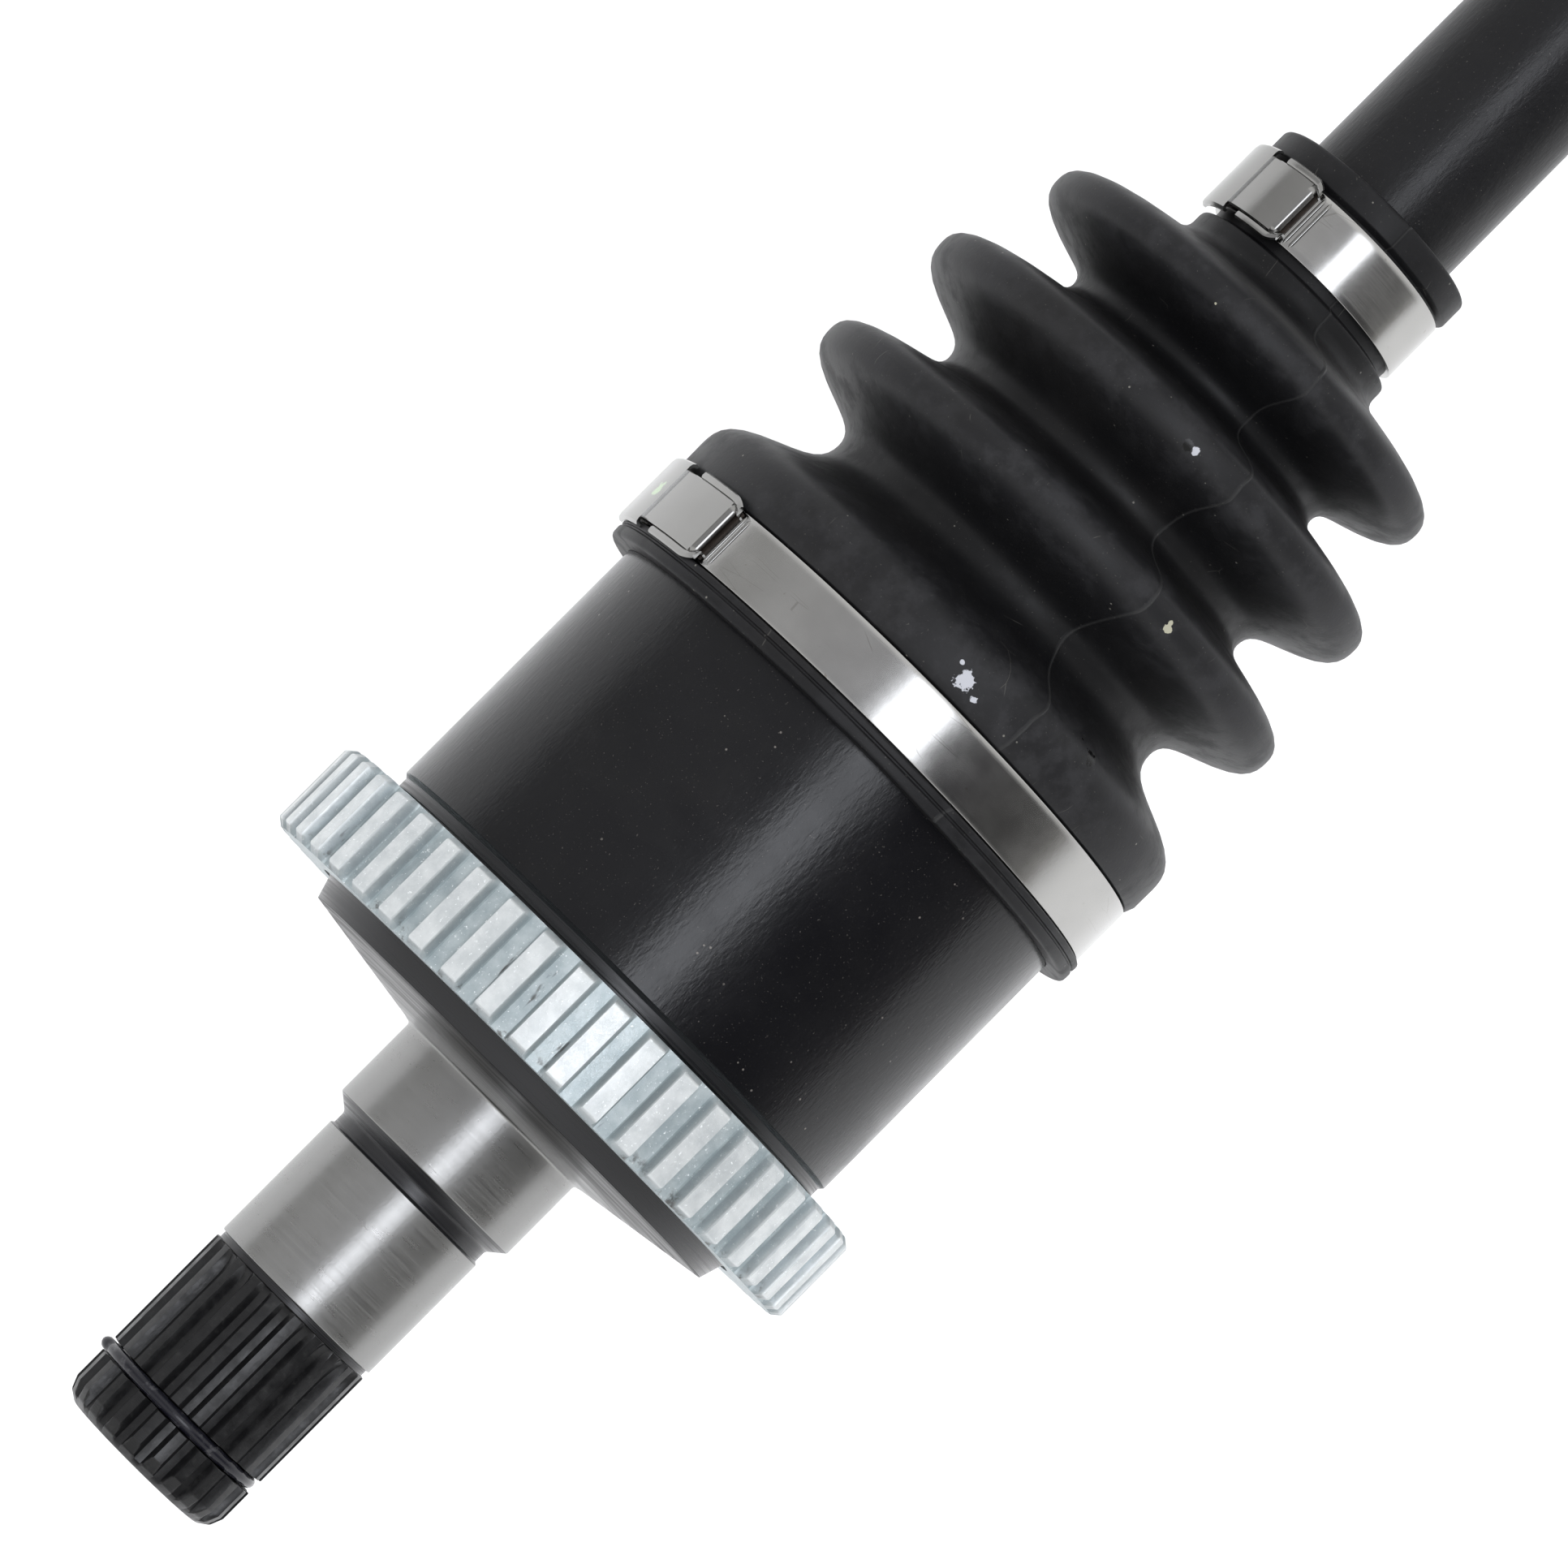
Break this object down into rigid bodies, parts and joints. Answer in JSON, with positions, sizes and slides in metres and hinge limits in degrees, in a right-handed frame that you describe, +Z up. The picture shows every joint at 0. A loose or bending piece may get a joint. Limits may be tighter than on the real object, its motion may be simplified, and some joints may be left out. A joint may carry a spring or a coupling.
{
  "type": "cv axle",
  "caption": "Front drive axle: solid bar with a plunging tripod joint and toothed sensor ring at one end, a fixed ball joint at the other, and a pleated boot over each joint.",
  "frame": {"origin": "on the axle's axis, inside the span of the inner seal journal, 50 mm inboard of the tripod joint's centre", "axes": "+X along the axle, from the differential end to the wheel end; +Z up; both joints bend about Y"},
  "size_m": [0.6502, 0.0914, 0.0914],
  "materials": {
    "black_steel": "satin black paint over forged and turned steel, bare on the journals",
    "zinc_plate": "pale bluish zinc plate, fine grained",
    "spring_steel": "black oxide spring steel",
    "joint_steel": "machined and hardened steel, greased",
    "ground_steel": "ground and polished bearing steel",
    "boot_rubber": "matt charcoal rubber",
    "stainless_strap": "bright stainless strap with a fine lengthwise grain"
  },
  "bodies": {
    "housing": {"inner_housing": "black_steel", "tone_ring": "zinc_plate", "stub_circlip": "spring_steel", "inner_boot": "boot_rubber", "large_clamp_band": "stainless_strap", "large_clamp_buckle": "stainless_strap"},
    "roller_a": {"roller_1": "ground_steel"},
    "shaft": {"axle_bar": "black_steel", "spider": "joint_steel", "needles_1": "ground_steel", "needles_2": "ground_steel", "needles_3": "ground_steel", "roller_clips": "spring_steel", "spider_snap_rings": "spring_steel", "small_clamp_band": "stainless_strap", "small_clamp_buckle": "stainless_strap", "outer_small_clamp_band": "stainless_strap", "outer_small_clamp_buckle": "stainless_strap", "inner_race": "joint_steel", "race_snap_rings": "spring_steel"},
    "roller_b": {"roller_2": "ground_steel"},
    "roller_c": {"roller_3": "ground_steel"},
    "ball_cage": {"cage": "joint_steel", "ball_1": "ground_steel", "ball_2": "ground_steel", "ball_3": "ground_steel", "ball_4": "ground_steel", "ball_5": "ground_steel", "ball_6": "ground_steel"},
    "bell": {"outer_bell": "black_steel", "outer_boot": "boot_rubber", "outer_large_clamp_band": "stainless_strap", "outer_large_clamp_buckle": "stainless_strap"}
  },
  "joints": [
    {"name": "plunge", "type": "slide", "parent": "housing", "child": "roller_a", "axis": [1, 0, 0], "range_m": [-0.011, 0.013], "deforming": ["inner_boot"]},
    {"name": "inner_bend", "type": "hinge", "parent": "roller_a", "child": "shaft", "pos_m": [0.05, 0, 0], "axis": [0, 1, 0], "range_deg": [-14, 14], "deforming": ["inner_boot"]},
    {"name": "roller_b_spin", "type": "hinge", "parent": "shaft", "child": "roller_b", "pos_m": [0.05, -0.0115, 0.01992], "axis": [0, -0.5, 0.866], "range_deg": [-55, 55]},
    {"name": "roller_c_spin", "type": "hinge", "parent": "shaft", "child": "roller_c", "pos_m": [0.05, -0.0115, -0.01992], "axis": [0, -0.5, -0.866], "range_deg": [-55, 55]},
    {"name": "cage_bend", "type": "hinge", "parent": "shaft", "child": "ball_cage", "pos_m": [0.48, 0, 0], "axis": [0, 1, 0], "range_deg": [-19, 19], "deforming": ["outer_boot"]},
    {"name": "bell_bend", "type": "hinge", "parent": "ball_cage", "child": "bell", "pos_m": [0.48, 0, 0], "axis": [0, 1, 0], "range_deg": [-19, 19], "deforming": ["outer_boot"]}
  ],
  "couplings": [
    {"joint": "roller_b_spin", "follows": "plunge", "rad_per_m": -62.5},
    {"joint": "roller_c_spin", "follows": "plunge", "rad_per_m": -62.5},
    {"joint": "cage_bend", "follows": "bell_bend", "ratio": 1}
  ]
}
